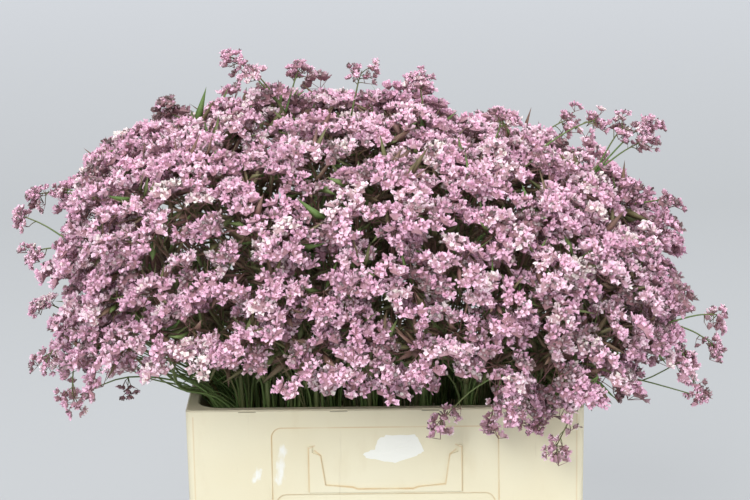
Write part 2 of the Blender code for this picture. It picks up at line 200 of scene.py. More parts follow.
# Narrow dry leaves and side shoots under the sprays, which keep the inside dark.
BLADES = 8
BLADE_LENGTH = (0.022, 0.044)
BLADE_RADIUS = 0.0018
BLADE_SPREAD = 1.15
BLADE_CLEARANCE = 0.010
LEAVES = 28
LEAF_LENGTH = (0.022, 0.046)
LEAF_HALF_WIDTH = (0.0022, 0.0042)
LEAF_HALF_THICKNESS = 0.0005

# A spray's tufts, the clusters in each tuft, and the florets along each cluster's spikelet.
TUFT_AREA = 0.00066
TUFT_REACH = 0.0148
TUFT_RELIEF = 0.19
TUFT_STALK = 0.0165
TALL_SHARE = 0.13
TALL_RISE = (0.007, 0.014)
SKIRT_TUFTS = 2
SKIRT_HEIGHT = 0.41
SKIRT_FALL = 0.35
FRONT_SKIRT_HEIGHT = 0.52
FRONT_SKIRT_FALL = 0.85
FRONT_SKIRT_START = -0.07
CLUSTERS = (4, 5)
CLUSTER_SPREAD = 1.14
CLUSTER_DROP = 0.0030
CLUSTER_RELIEF = 0.0022
STRAY_CLUSTERS = (2, 3)
STRAY_SIZE = 0.7
SIDE_TUFTS = 6
SIDE_TUFT_SIZE = 0.52
SPRAY_SCATTER = 0.0060
DOME = 0.16
FINE_SLANT = 0.45
SPIKELET_LENGTH = (0.0080, 0.0135)
FLORETS = 12
FLORET_RADIUS = (0.0014, 0.0029)
FLORET_LENGTH = (0.0050, 0.0084)
FLORET_SWING = (0.05, 1.10)
FLORET_FAN = 1.1
CORE_SIDES = 5
CORE_RADIUS = (0.0050, 0.0070)
CORE_LIFT = 0.0018
GOLDEN = (3 - math.sqrt(5)) / 2
UP = np.array([0.0, 0.0, 1.0])

# Tints, from brown at 0 through pink to nearly white at 1. Pinks have a mean and a spread.
PINK_TINT = (0.50, 0.13)
PALE_TINT = (0.75, 0.95)
PALE_SHARE = 0.12
DULL_TINT = (0.08, 0.22)
DULL_SHARE = 0.10
# The dull brown share on sprays low down, larger than elsewhere, so that they are darker low down.
LOW_DULL_SHARE = 0.22
SPECK_TINT = 0.01
SPECK_SHARE = 0.10

# The camera: its place, how far it looks down, its turn and roll, and its lens.
CAMERA_PLACE = (0.0554, -3.7274, 1.2564)
CAMERA_DOWN = math.radians(12.5)
CAMERA_TURN = math.radians(1.0)
CAMERA_ROLL = math.radians(0.9)
CAMERA_LENS = 177.34

# The studio: a paper floor, and lights with the way each comes from, its strength and its width in degrees.
FLOOR_HALF = 20.0
FLOOR_FAR = 5.0  # how far back the floor still is in the picture
LIGHTS = (
    ("key", (-0.40, -1.0, 0.66), 1.85, 35),
    ("fill", (0.9, -0.9, 0.5), 0.85, 60),
    ("top", (0.1, 0.10, 1.0), 1.4, 60),
)
SKY_STRENGTH = 0.62


def polar(spots):
    """Radius and angle of map points, which lie in the unit disc."""
    return np.linalg.norm(spots, axis=-1), np.arctan2(spots[..., 1], spots[..., 0])


def squared(spots, half, squareness):
    """Map points spread over a rectangle with rounded corners."""
    reach, turn = polar(spots)
    across, along = np.cos(turn), np.sin(turn)
    stretch = (np.abs(across) ** squareness + np.abs(along) ** squareness) ** (-1 / squareness)
    return np.stack([across, along], axis=-1) * (reach * stretch)[..., None] * half


def skirt_angle(turn):
    """How far from the vertical the canopy reaches: less at the front, least over its bare left corner."""
    front = np.clip(-np.sin(turn), 0.0, 1.0) ** 2
    apart = (turn - GAP_DIRECTION + math.pi) % math.tau - math.pi
    return SKIRT_ANGLE - FRONT_LIFT * front - GAP_LIFT * np.exp(-((apart / GAP_SPREAD) ** 2))


def canopy(spots):
    """The canopy's surface over the map points."""
    reach, turn = polar(spots)
    fall = reach * skirt_angle(turn)
    way = np.stack([np.sin(fall) * np.cos(turn), np.sin(fall) * np.sin(turn), np.cos(fall)], axis=-1)
    half = np.broadcast_to(CANOPY_HALF, way.shape).copy()
    half[..., 0] -= CANOPY_SKEW * np.cos(turn)
    half[..., 2] = np.where(way[..., 2] < 0, CANOPY_DROOP, CANOPY_HALF[2])
    power = (SQUARENESS - SQUARENESS_SKEW * np.cos(turn))[..., None]
    size = (np.abs(way / half) ** power).sum(axis=-1) ** (-1 / power[..., 0])
    spots = CANOPY_CENTRE + way * size[..., None]
    rise = np.maximum(spots[..., 2] - CANOPY_CENTRE[2], 0)
    near, far = SHOULDER_PLACE
    across = np.clip((spots[..., 0] - near) / (far - near), 0, 1)
    spots[..., 2] -= rise * (TOP_FALL + SHOULDER_FALL * across**2 * (3 - 2 * across))
    return spots


def surface_normals(spots):
    """The canopy's outward normal at each map point, as long as the area that the map covers there."""
    here = canopy(spots)
    along_x = canopy(spots + np.array([MAP_STEP, 0])) - here
    along_y = canopy(spots + np.array([0, MAP_STEP])) - here
    return np.cross(along_x, along_y)


def way_up(spot, share, depth=1.0):
    """The point at this share of the way from the floor, through the opening, to the canopy."""
    spot = np.asarray(spot, float)
    reach = np.linalg.norm(spot)
    foot = np.array([*squared(spot, FOOT_HALF, OPENING_SQUARENESS), WALL + FLOOR_GAP])
    mouth = np.array([*squared(spot, OPENING_HALF, OPENING_SQUARENESS), CRATE_HEIGHT])
    if share <= OPENING_SHARE:
        return foot + (mouth - foot) * share / OPENING_SHARE
    lift = LIFT_CENTRE + (LIFT_EDGE - LIFT_CENTRE) * reach
    bend = mouth + (mouth - foot) * lift / CRATE_HEIGHT
    tip = CANOPY_CENTRE + (canopy(spot) - CANOPY_CENTRE) * depth
    part = (share - OPENING_SHARE) / (1 - OPENING_SHARE)
    return (1 - part) ** 2 * mouth + 2 * part * (1 - part) * bend + part**2 * tip


def nearest(points, centres):
    """The number of the centre that is nearest to each point."""
    return ((points[:, None, :] - centres[None, :, :]) ** 2).sum(axis=2).argmin(axis=1)


def relaxed(points, count, rng, rounds=40):
    """Evenly spread centres among the points, each at the middle of the points that are nearest to it."""
    centres = points[rng.choice(len(points), count, replace=False)]
    for _ in range(rounds):
        owner = nearest(points, centres)
        for k in np.unique(owner):
            centres[k] = points[owner == k].mean(axis=0)
    return centres


def unit(vectors):
    """The vector, or each of the vectors, at length one."""
    return vectors / np.linalg.norm(vectors, axis=-1, keepdims=True)


def spray_spots(rng):
    """Map points of the sprays, evenly spread over the canopy's real area."""
    trial = rng.uniform(-1, 1, (TRIALS, 2))
    trial = trial[np.linalg.norm(trial, axis=1) < 1]
    area = np.linalg.norm(surface_normals(trial), axis=1)
    chosen = trial[rng.choice(len(trial), CANDIDATES, p=area / area.sum())]
    surface = canopy(chosen)
    return chosen[nearest(relaxed(surface, SPRAYS, rng), surface)]


def rotated(vector, axis, turn):
    """The vector turned about a unit axis that it is square to."""
    return math.cos(turn) * vector + math.sin(turn) * np.cross(axis, vector)


def plan_sprays(rng):
    """The canopy's sprays, with each one's map point, depth, centre, normal, way out and outline."""
    spots = spray_spots(rng)
    depths = 1 - SPRAY_DEPTH * rng.random(len(spots))
    centres = CANOPY_CENTRE + (canopy(spots) - CANOPY_CENTRE) * depths[:, None]
    normals = unit(surface_normals(spots))
    sprays = []
    for spot, depth, centre, normal in zip(spots, depths, centres, normals):
        spray = {"spot": spot, "depth": depth, "centre": centre, "normal": normal, "strays": []}
        spray["out"] = unit(centre - CANOPY_CENTRE)
        spray["outline"] = outline(spray, centres, rng)
        sprays.append(spray)
    return sprays


def outline(spray, centres, rng):
    """Lobes and notches round a spray, within the planes that part it from the sprays beside it."""
    centre = spray["centre"]
    normal = spray["normal"]
    first = unit(np.cross(normal, rng.normal(size=3)))
    middles = unit((centres + centre) / 2 - CANOPY_CENTRE)
    apart = centres - centre
    planes = apart - middles * (apart * middles).sum(axis=1)[:, None]
    own_side = -((centre - CANOPY_CENTRE) * planes).sum(axis=1)
    slant = SPRAY_TILT * np.clip((centre[2] - CRATE_HEIGHT) / CANOPY_HALF[2], TILT_LEAST, 1.0)
    points = []
    for k in range(2 * LOBES):
        way = rotated(first, normal, math.pi * k / LOBES)
        across = planes @ way
        reach = (own_side[across > 1e-9] / across[across > 1e-9]).min() * SPRAY_FILL
        reach = min(reach, SPRAY_RADIUS)
        reach *= rng.uniform(*NOTCH_REACH) if k % 2 else 1.0
        lift = rng.uniform(-RIM_RELIEF, RIM_RELIEF) - slant * way.dot(UP)
        points.append(centre + way * reach + spray["out"] * lift * reach)
    return np.array(points)


def way_to(stem, spray, fork, share):
    """The point on a spray's way from the stem's fork."""
    part = (share - fork) / (1 - fork)
    spot = stem["spot"] + (spray["spot"] - stem["spot"]) * part
    return way_up(spot, share, stem["depth"] + (spray["depth"] - stem["depth"]) * part)


def neck(spray):
    """Where the twig under a spray begins to open out."""
    return spray["centre"] - spray["out"] * NECK_DEPTH * spray.get("scale", 1.0)


def plan_stems(rng):
    """Each stem's own map point and depth, and the sprays that it carries, the one nearest to it first."""
    sprays = plan_sprays(rng)
    spots = np.array([spray["spot"] for spray in sprays])
    ways = np.array([spray["out"] for spray in sprays])
    stem_spots = relaxed(spots, STEMS, rng)
    owner = nearest(spots, stem_spots)
    for place, radius in STRAYS:
        place = np.array(place)
        carrier = (ways @ unit(place - CANOPY_CENTRE)).argmax()
        sprays[carrier]["strays"].append((place, radius))
    stems = []
    for number, spot in enumerate(stem_spots):
        own = [sprays[k] for k in np.flatnonzero(owner == number)]
        own.sort(key=lambda spray: np.linalg.norm(spray["spot"] - spot))
        stems.append({"spot": spot, "depth": own[0]["depth"], "sprays": own})
    return stems


def placed(name, data):
    """A new object of this mesh, light or camera, in the scene."""
    made = bpy.data.objects.new(name, data)
    bpy.context.scene.collection.objects.link(made)
    return made


STALK, FLORET = 0, 1
CHART_HALF = np.array([0.94, 0.46])
CHART_START = (np.array([0.03, 0.02]), np.array([0.03, 0.52]))
CHART_SPREAD = 0.012  # so that no face of a stalk or floret is without width on the map


class Skin:
    """Triangles of one piece, gathered from many small closed skins."""

    def __init__(self):
        self.points, self.faces, self.marks, self.slots = [], [], [], []
        self.size = 0

    def add(self, points, faces, tints, places, slot):
        """Copies of a small skin, one to each row of points, with tints and places from 0 to 1.

        Each slot has its own half of the map.
        """
        marks = np.stack([np.broadcast_to(mark, points.shape[:-1]) for mark in (tints, places)], axis=-1)
        marks = marks.reshape(-1, 2) * CHART_HALF + CHART_START[slot]
        marks[:, 0] += (np.arange(len(marks)) % 3 - 1) * CHART_SPREAD
        self.marks.append(marks)
        self.points.append(points.reshape(-1, 3))
        firsts = np.arange(self.size, self.size + len(marks), len(marks) // len(points))
        self.faces.append((faces + firsts[:, None, None]).reshape(-1, 3))
        self.slots.append(np.full(len(self.faces[-1]), slot))
        self.size += len(marks)

    def piece(self, name, looks):
        """The object, whose map holds each point's tint and its place along its stalk or floret."""
        points = np.clip(np.concatenate(self.points), LOW + BOX_MARGIN, HIGH - BOX_MARGIN)
        faces = np.concatenate(self.faces)
        slots = np.concatenate(self.slots)
        mesh = bpy.data.meshes.new(name)
        mesh.from_pydata(points, [], faces)
        for look in looks:
            mesh.materials.append(look)
        mesh.polygons.foreach_set("material_index", slots.astype(np.int32))
        mesh.polygons.foreach_set("use_smooth", slots == STALK)
        marks = np.concatenate(self.marks)[faces.reshape(-1)].astype(np.float32)
        mesh.uv_layers.new(name="OFBake").data.foreach_set("uv", marks.reshape(-1))
        return placed(name, mesh)


def tube_faces(steps, sides):
    """The triangles of a closed tube, ring by ring, with flat ends."""
    faces = [(0, k + 1, k) for k in range(1, sides - 1)]
    for level in range(steps - 1):
        for k in range(sides):
            a, b = level * sides + k, level * sides + (k + 1) % sides
            faces += [(a, b, b + sides), (a, b + sides, a + sides)]
    last = (steps - 1) * sides
    faces += [(last, last + k, last + k + 1) for k in range(1, sides - 1)]
    return np.array(faces)


def add_tubes(skin, paths, radii, tints, reach=(0.0, 1.0), sides=3):
    """Closed tubes along paths of equally many points; radius and colour change along each."""
    paths = np.asarray(paths, float)
    if paths.ndim == 2:
        paths = paths[None]
    count, steps = paths.shape[:2]
    ways = unit(np.gradient(paths, axis=1))
    square = np.eye(3)[np.abs(ways).max(axis=1).argmin(axis=1)]
    side = unit(np.cross(ways, square[:, None, :]))
    other = np.cross(ways, side)
    turns = math.tau * np.arange(sides) / sides
    ring = side[:, :, None] * np.cos(turns)[:, None] + other[:, :, None] * np.sin(turns)[:, None]
    size = np.linspace(*radii, steps)[:, None, None]
    points = paths[:, :, None] + ring * size
    tints = np.broadcast_to(tints, (count,))[:, None, None]
    skin.add(points, tube_faces(steps, sides), tints, np.linspace(*reach, steps)[:, None], STALK)


def smooth_path(points, steps=CURVE_STEPS):
    """A smooth curve through the points."""
    points = np.asarray(points, float)
    ends = np.vstack([2 * points[0] - points[1], points, 2 * points[-1] - points[-2]])
    share = (np.arange(steps) / steps)[:, None]
    spans = []
    for k in range(len(points) - 1):
        a, b, c, d = ends[k:k + 4]
        spans.append(0.5 * (2 * b + (c - a) * share + (2 * a - 5 * b + 4 * c - d) * share**2
                            + (3 * b - a - 3 * c + d) * share**3))
    return np.vstack([*spans, points[-1:]])


def on_path(path, shares):
    """Points at these shares of a path's point count."""
    place = np.clip(np.asarray(shares, float), 0, 1) * (len(path) - 1)
    low = np.minimum(place.astype(int), len(path) - 2)
    part = (place - low)[..., None]
    return path[low] * (1 - part) + path[low + 1] * part


def curves(starts, bends, ends, steps=4):
    """Many curves, each from its start towards its bend and on to its end."""
    share = np.linspace(0, 1, steps)[:, None]
    starts, bends, ends = starts[:, None], bends[:, None], ends[:, None]
    return (1 - share) ** 2 * starts + 2 * share * (1 - share) * bends + share**2 * ends


def floret_form(rim, radii, heights, throat, places=(0.0, 0.6, 1.0)):
    """A closed funnel: its points, its faces, and the colours' places at its base, rim and throat."""
    points = [(0.0, 0.0, 0.0)]
    for k in range(rim):
        turn = math.tau * k / rim
        radius, height = radii[k % len(radii)], heights[k % len(heights)]
        points.append((radius * math.cos(turn), radius * math.sin(turn), height))
    points.append((0.0, 0.0, throat))
    faces = []
    for k in range(rim):
        a, b = 1 + k, 1 + (k + 1) % rim
        faces += [(0, b, a), (a, b, rim + 1)]
    return np.array(points), np.array(faces), np.repeat(places, (1, rim, 1))


# Florets with five lobes and with three, half-open ones, small ones and buds.
FORMS = (
    floret_form(10, (1.0, 0.58), (1.0, 0.90), 0.74),
    floret_form(6, (1.08, 0.58), (1.0, 0.86), 0.78),
    floret_form(5, (0.92,), (1.0,), 0.70),
    floret_form(4, (0.94,), (1.0,), 0.74),
    floret_form(3, (0.42,), (0.70,), 1.0, (0.0, 0.5, 0.6)),
)
FORM_SHARES = (0.02, 0.18, 0.30, 0.30, 0.20)
FORM_NOISE = 0.15


def ways_round(axes, turns):
    """A unit vector square to each axis, at this turn about it."""
    a = unit(np.cross(axes, np.eye(3)[np.abs(axes).argmin(axis=-1)]))
    return a * np.cos(turns) + np.cross(axes, a) * np.sin(turns)


def add_florets(skin, bases, axes, tints, rng, size=1.0):
    """Open florets, half-open ones and buds, each with its base on a spikelet."""
    count = len(bases)
    kind = rng.choice(len(FORMS), count, p=FORM_SHARES)
    radius = rng.uniform(*FLORET_RADIUS, count) * size
    length = rng.uniform(*FLORET_LENGTH, count) * size
    x = ways_round(axes, rng.uniform(0, math.tau, (count, 1)))
    y = np.cross(axes, x)
    for number, (form, faces, places) in enumerate(FORMS):
        own = np.flatnonzero(kind == number)
        if not len(own):
            continue
        form = form * (1 + rng.normal(0, FORM_NOISE, (len(own), *form.shape)))
        across = (x[own, None] * form[..., 0:1] + y[own, None] * form[..., 1:2]) * radius[own, None, None]
        points = bases[own, None] + across + axes[own, None] * form[..., 2:3] * length[own, None, None]
        skin.add(points, faces, tints[own, None], places, FLORET)


def add_cores(skin, middles, axes, run, tints, rng, size=1.0):
    """The dull calyces packed between a cluster's florets, as one rough lens under them."""
    count = len(middles)
    radius = rng.uniform(*CORE_RADIUS, (count, 1)) * size
    along = unit(run)
    side = np.cross(axes, along)
    corners = [middles + axes * radius * 0.55, middles - axes * radius * 0.75]
    for k in range(CORE_SIDES):
        turn = math.tau * k / CORE_SIDES
        reach = rng.uniform(0.75, 1.2, (count, 1)) * radius
        lift = axes * rng.uniform(-0.25, 0.25, (count, 1)) * radius
        corners.append(middles + (along * math.cos(turn) * 1.25 + side * math.sin(turn)) * reach + lift)
    rim = [(2 + k, 2 + (k + 1) % CORE_SIDES) for k in range(CORE_SIDES)]
    faces = np.array([(0, a, b) for a, b in rim] + [(1, b, a) for a, b in rim])
    places = rng.uniform(0.0, 0.22, (count, len(corners)))
    skin.add(np.stack(corners, axis=1), faces, tints[:, None], places, FLORET)


def add_clusters(skin, hubs, places, axes, tints, rng, size=1.0):
    """Clusters of florets: a twig runs from each hub to a spikelet under its place, with florets along it."""
    count = len(places)
    run = ways_round(axes, rng.uniform(0, math.tau, (count, 1)))
    side = np.cross(axes, run)
    half = rng.uniform(*SPIKELET_LENGTH, (count, 1)) * size / 2
    middle = places - axes * FLORET_LENGTH[0] * size
    share = (np.arange(FLORETS) + 0.5) / FLORETS
    swing = np.where(np.arange(FLORETS) % 2, 1, -1) * rng.uniform(*FLORET_SWING, (count, FLORETS))
    fan = ((share - 0.5) * FLORET_FAN)[:, None]
    lean = axes[:, None] + side[:, None] * swing[..., None] + run[:, None] * fan
    lean = unit(lean + rng.normal(0, 0.16, lean.shape))

    # A cluster at the edge of the solids' box is moved in until its florets fit.
    spine = middle[:, None] + run[:, None] * half[:, None] * (2 * share - 1)[:, None]
    tips = spine + lean * FLORET_LENGTH[1] * size
    margin = FLORET_RADIUS[1] * size
    down = np.minimum(HIGH - margin - tips.max(axis=1), 0)
    middle = middle + down + np.maximum(LOW + margin - tips.min(axis=1), 0)

    ends = (middle - run * half, middle + run * half)
    add_tubes(skin, np.stack([hubs, *ends], axis=1), SPIKELET_RADII, rng.random(count), (0.75, 1.0))
    bases = ends[0][:, None] + (ends[1] - ends[0])[:, None] * share[:, None]
    add_cores(skin, middle + axes * CORE_LIFT * size, axes, run * half / np.abs(half).max(), tints, rng, size)
    tint = np.clip(tints[:, None] + rng.normal(0, 0.13, (count, FLORETS)), 0.01, 0.99)
    tint = np.where(rng.random(tint.shape) < SPECK_SHARE, SPECK_TINT, tint)
    add_florets(skin, bases.reshape(-1, 3), lean.reshape(-1, 3), tint.reshape(-1), rng, size)


def skirt_places(spray, rng):
    """Places under and behind a low spray, whose tufts hide its bare stalks."""
    side = unit(np.cross(spray["out"], UP))
    across = rng.uniform(-0.9, 0.9, (SKIRT_TUFTS, 1))
    inward = rng.uniform(0.4, 1.1, (SKIRT_TUFTS, 1))
    x, y, z = spray["centre"]
    fall = FRONT_SKIRT_FALL if y < 0 and x > FRONT_SKIRT_START and z < SKIRT_HEIGHT else SKIRT_FALL
    return spray["centre"] + (side * across - spray["out"] * inward - UP * fall) * SPRAY_RADIUS


def tuft_places(spray, rng):
    """Where a spray's tufts sit over its outline, the ways they face, and their shares of the way out."""
    in_canopy = "scale" not in spray
    scale = spray.get("scale", 1.0)
    centre, out = spray["centre"], spray["out"]
    rim = spray["outline"] - centre
    reach = np.linalg.norm(rim, axis=1)
    lobes = (np.roll(reach, 1) + np.roll(reach, -1)) / 2
    rim = rim * (np.maximum(reach, lobes * 0.94) / reach * CLUSTER_SPREAD)[:, None]
    area = 0.5 * np.linalg.norm(np.cross(rim, np.roll(rim, -1, axis=0)), axis=1).sum()
    count = max(2, round(area / TUFT_AREA))
    order = np.arange(count)
    share = np.sqrt((order + 0.5) / count)
    turn = (order * GOLDEN * len(rim) + rng.uniform(0, len(rim))) % len(rim)
    low = turn.astype(int)
    part = (turn - low)[:, None]
    edge = rim[low] * (1 - part) + rim[(low + 1) % len(rim)] * part
    across = edge * share[:, None] * 0.92 + rng.normal(0, SPRAY_SCATTER * scale, edge.shape)
    height = (DOME * (1 - share**2) + rng.uniform(-TUFT_RELIEF, TUFT_RELIEF, count)) * SPRAY_RADIUS * scale
    if in_canopy:
        height += np.where(rng.random(count) < TALL_SHARE, rng.uniform(*TALL_RISE, count), 0.0)
        height -= FINE_SLANT * across[:, 2] * np.clip(1.15 - out[2], 0.2, 1.0)
    places = centre + across + out * height[:, None]
    outer = edge / np.linalg.norm(edge, axis=1)[:, None] * share[:, None]
    if in_canopy and centre[2] < (FRONT_SKIRT_HEIGHT if centre[1] < 0 else SKIRT_HEIGHT):
        inner = skirt_places(spray, rng)
        places = np.vstack([places, inner])
        outer = np.vstack([outer, np.zeros_like(inner)])
        share = np.append(share, np.full(SKIRT_TUFTS, 0.8))
    axes = out * 0.60 + UP * 0.70 + outer * 0.40
    return places, unit(axes + rng.normal(0, 0.12, axes.shape)), share


def add_tufts(skin, places, axes, roots, tints, rng, size=1.0, clusters=CLUSTERS, reach=TWIG_PLACES):
    """Tufts: a twig forks off the stalk to each one and parts into the twigs of its clusters."""
    count = len(places)
    hubs = places - axes * TUFT_STALK * size
    rise = ((hubs - roots) * axes).sum(axis=1)[:, None]
    bends = roots + (hubs - roots) * 0.35 + axes * np.clip(rise, 0.0, 0.02) * 0.35
    dryness = rng.random(count) * (1.0 if size == 1.0 else 0.4)
    add_tubes(skin, curves(roots, bends, hubs), TWIG_RADII, dryness, reach)
    for place, axis, hub, tint in zip(places, axes, hubs, tints):
        number = rng.integers(clusters[0], clusters[1] + 1)
        span = TUFT_REACH * rng.uniform(0.75, 1.2) * size
        share = np.sqrt((np.arange(number) + 0.45) / number)
        turn = np.arange(number) * GOLDEN * math.tau + rng.uniform(0, math.tau)
        away = ways_round(axis, turn[:, None])
        drop = share**2 * CLUSTER_DROP + rng.uniform(-CLUSTER_RELIEF, CLUSTER_RELIEF, number)
        own = place + away * (share * span)[:, None] - axis * drop[:, None] * size
        ways = unit(axis + away * share[:, None] * 0.55 + rng.normal(0, 0.10, away.shape))
        shade = np.clip(tint + rng.normal(0, 0.07, number), 0.02, 0.98)
        add_clusters(skin, np.repeat(hub[None], number, axis=0), own, ways, shade, rng, size)


def tuft_tints(count, rng, dull=DULL_SHARE):
    """A tint for each tuft: pinks for most, some pale ones, and a few that are still brown in bud; the dull
    brown share is larger on the low sprays, which makes them darker low down.
    """
    tints = rng.normal(*PINK_TINT, count)
    tints = np.where(rng.random(count) < PALE_SHARE, rng.uniform(*PALE_TINT, count), tints)
    tints = np.where(rng.random(count) < dull, rng.uniform(*DULL_TINT, count), tints)
    return np.clip(tints, 0.05, 0.95)


def add_spray(skin, spray, stalk, rng, size=1.0):
    """A spray: twigs fork off the end of its stalk, the outer ones lower, and each ends in a tuft."""
    places, axes, share = tuft_places(spray, rng)
    roots = on_path(stalk, 1.0 - 0.35 * share * rng.uniform(0.3, 1.0, len(share)))
    kind = (CLUSTERS, TWIG_PLACES) if size == 1.0 else (STRAY_CLUSTERS, STRAY_PLACES)
    # Low sprays get a larger dull brown share, which makes them darker low down.
    dull = LOW_DULL_SHARE if spray["centre"][2] < LOW_HEIGHT else DULL_SHARE
    add_tufts(skin, places, axes, roots, tuft_tints(len(places), rng, dull), rng, size, *kind)


def add_leaves(skin, stalk, rng):
    """Small dry leaves all along the stalk under a spray."""
    roots = on_path(stalk, rng.uniform(0.0, 0.85, LEAVES))
    along = unit(stalk[-1] - stalk[0])
    away = ways_round(along, rng.uniform(0, math.tau, (LEAVES, 1)))
    lean = unit(along * rng.uniform(0.1, 1.0, (LEAVES, 1)) + away)
    length = rng.uniform(*LEAF_LENGTH, (LEAVES, 1))
    wide = unit(np.cross(lean, rng.normal(size=lean.shape))) * rng.uniform(*LEAF_HALF_WIDTH, (LEAVES, 1))
    thick = unit(np.cross(lean, wide)) * LEAF_HALF_THICKNESS
    middle = roots + lean * length * 0.5
    tip = roots + lean * length + UP * length * rng.uniform(-0.2, 0.3, (LEAVES, 1))
    points = np.stack([roots, middle - wide, tip, middle + wide, middle + thick, middle - thick], axis=1)
    faces = np.array([(0, 3, 4), (3, 2, 4), (2, 1, 4), (1, 0, 4), (3, 0, 5), (2, 3, 5), (1, 2, 5), (0, 1, 5)])
    skin.add(points, faces, rng.random((LEAVES, 1)), rng.uniform(0.0, 0.6, (LEAVES, 1)), STALK)


def add_blades(skin, spray, stalk, rng):
    """Narrow dry leaves and side shoots that fan off the stalk under a spray."""
    out = spray["out"]
    roots = on_path(stalk, rng.uniform(0.0, 0.75, BLADES))
    away = ways_round(out, rng.uniform(0, math.tau, (BLADES, 1)))
    length = rng.uniform(*BLADE_LENGTH, (BLADES, 1))
    lean = unit(out + away * rng.uniform(0.35, BLADE_SPREAD, (BLADES, 1)))
    ends = roots + lean * length
    limit = (spray["centre"] - ends) @ out - BLADE_CLEARANCE
    ends += out * np.minimum(limit, 0.0)[:, None]
    bends = roots + away * length * 0.25 + out * length * 0.40
    paths = curves(roots, bends, ends, 3)
    start = len(skin.points)
    add_tubes(skin, paths, (BLADE_RADIUS, BLADE_RADIUS * 0.25), rng.random(BLADES), (0.1, 0.75))

    # The three-sided tubes are pressed flat.
    flat = skin.points[start].reshape(BLADES, 3, 3, 3)
    middle = flat.mean(axis=2, keepdims=True)
    thin = unit(np.cross(lean, away))[:, None, None]
    flat -= thin * ((flat - middle) * thin).sum(axis=-1, keepdims=True) * 0.75


def stalk_to(spray, points):
    """The stalk's smooth path, with its last stretch inside the spray."""
    return smooth_path([*points, neck(spray), neck(spray) * 0.55 + spray["centre"] * 0.45])


def add_stray(skin, start, place, radius, rng):
    """A long thin sprig that arches out of a canopy spray, with clusters up its end."""
    span = place - start
    bend = start + span * 0.55 + UP * (STRAY_ARCH * np.linalg.norm(span))
    out = unit(place - bend)
    stray = {"centre": place, "out": out, "scale": radius / SPRAY_RADIUS}
    first = unit(np.cross(out, rng.normal(size=3)))
    rim = np.array([rotated(first, out, math.pi * k / LOBES) for k in range(2 * LOBES)])
    stray["outline"] = place + rim * (radius * rng.uniform(0.8, 1.0, (2 * LOBES, 1)))
    stalk = smooth_path([start, (start + 2 * bend + place) / 4, neck(stray), place])
    add_tubes(skin, stalk, STRAY_RADII, rng.uniform(0, 0.5), (0.0, 0.35), 4)
    add_spray(skin, stray, stalk, rng, STRAY_SIZE)

    # Smaller tufts sit to either side of its stalk.
    roots = on_path(stalk, np.linspace(0.45, 0.90, SIDE_TUFTS))
    side = unit(np.cross(out, rng.normal(size=3)))
    turn = math.pi * np.arange(SIDE_TUFTS) + rng.normal(0, 0.5, SIDE_TUFTS)
    away = np.array([rotated(side, out, t) for t in turn])
    places = roots + (away * 0.8 + out * 0.9) * (radius * rng.uniform(0.5, 1.3, SIDE_TUFTS))[:, None]
    axes = unit(away * 0.5 + out * 0.7 + UP * 0.5)
    tints = tuft_tints(SIDE_TUFTS, rng)
    add_tufts(skin, places, axes, roots, tints, rng, SIDE_TUFT_SIZE, STRAY_CLUSTERS, STRAY_PLACES)


def add_arches(skin, stem, rng):
    """Green blades that rise out of the crate beside a stem and arch over to either side."""
    start = way_up(stem["spot"], ARCH_START)
    for _ in range(ARCHES):
        side = unit(np.array([rng.uniform(-1, 1), rng.uniform(-0.35, 0.15), 0.0])) * rng.uniform(*ARCH_REACH)
        foot = start + np.array([rng.uniform(-0.008, 0.008), rng.uniform(-0.006, 0.006), 0.0])
        path = smooth_path([foot + UP * height + side * share for height, share in ARCH_PATH])
        add_tubes(skin, path, ARCH_RADII, rng.uniform(0, 0.4), (0.0, 0.30), 4)


def add_low_stems(skin, spray, rng):
    """Bare green stems that come over the crate's end and run out to one of the low sprays beside it."""
    tip = neck(spray)
    side = np.sign(tip[0])
    for _ in range(LOW_STEMS):
        foot = side * rng.uniform(*LOW_FOOT_REACH)
        depth = np.clip(tip[1] * 0.55 + rng.uniform(-0.03, 0.03), -LOW_FOOT_DEPTH, LOW_FOOT_DEPTH)
        start = np.array([foot, depth, LOW_FOOT_HEIGHT])
        over = np.array([side * OVER_RIM_REACH, depth * 1.15, rng.uniform(*OVER_RIM_HEIGHT)])
        out = (over + tip) / 2 + UP * rng.uniform(-0.012, 0.006)
        path = smooth_path([start, (start + over) / 2 + UP * 0.012, over, out, tip])
        add_tubes(skin, path, LOW_STEM_RADII, rng.uniform(0, 0.35), (0.0, 0.22), 4)


def add_companion(skin, stem, spray, rng):
    """A thin bare stem that leaves the main one inside the crate and sways up to the spray's underside."""
    shares = np.linspace(*COMPANION_SHARES, 9)
    path = np.array([way_to(stem, spray, shares[0], share) for share in shares])
    path[-1] = neck(spray)
    sway = unit(np.cross(path[-1] - path[0], rng.normal(size=3))) * rng.uniform(*COMPANION_SWAY)
    path += sway * np.sin(np.linspace(0, math.pi, len(path)))[:, None]
    add_tubes(skin, path, COMPANION_RADII, rng.random(), (0.0, 0.6))


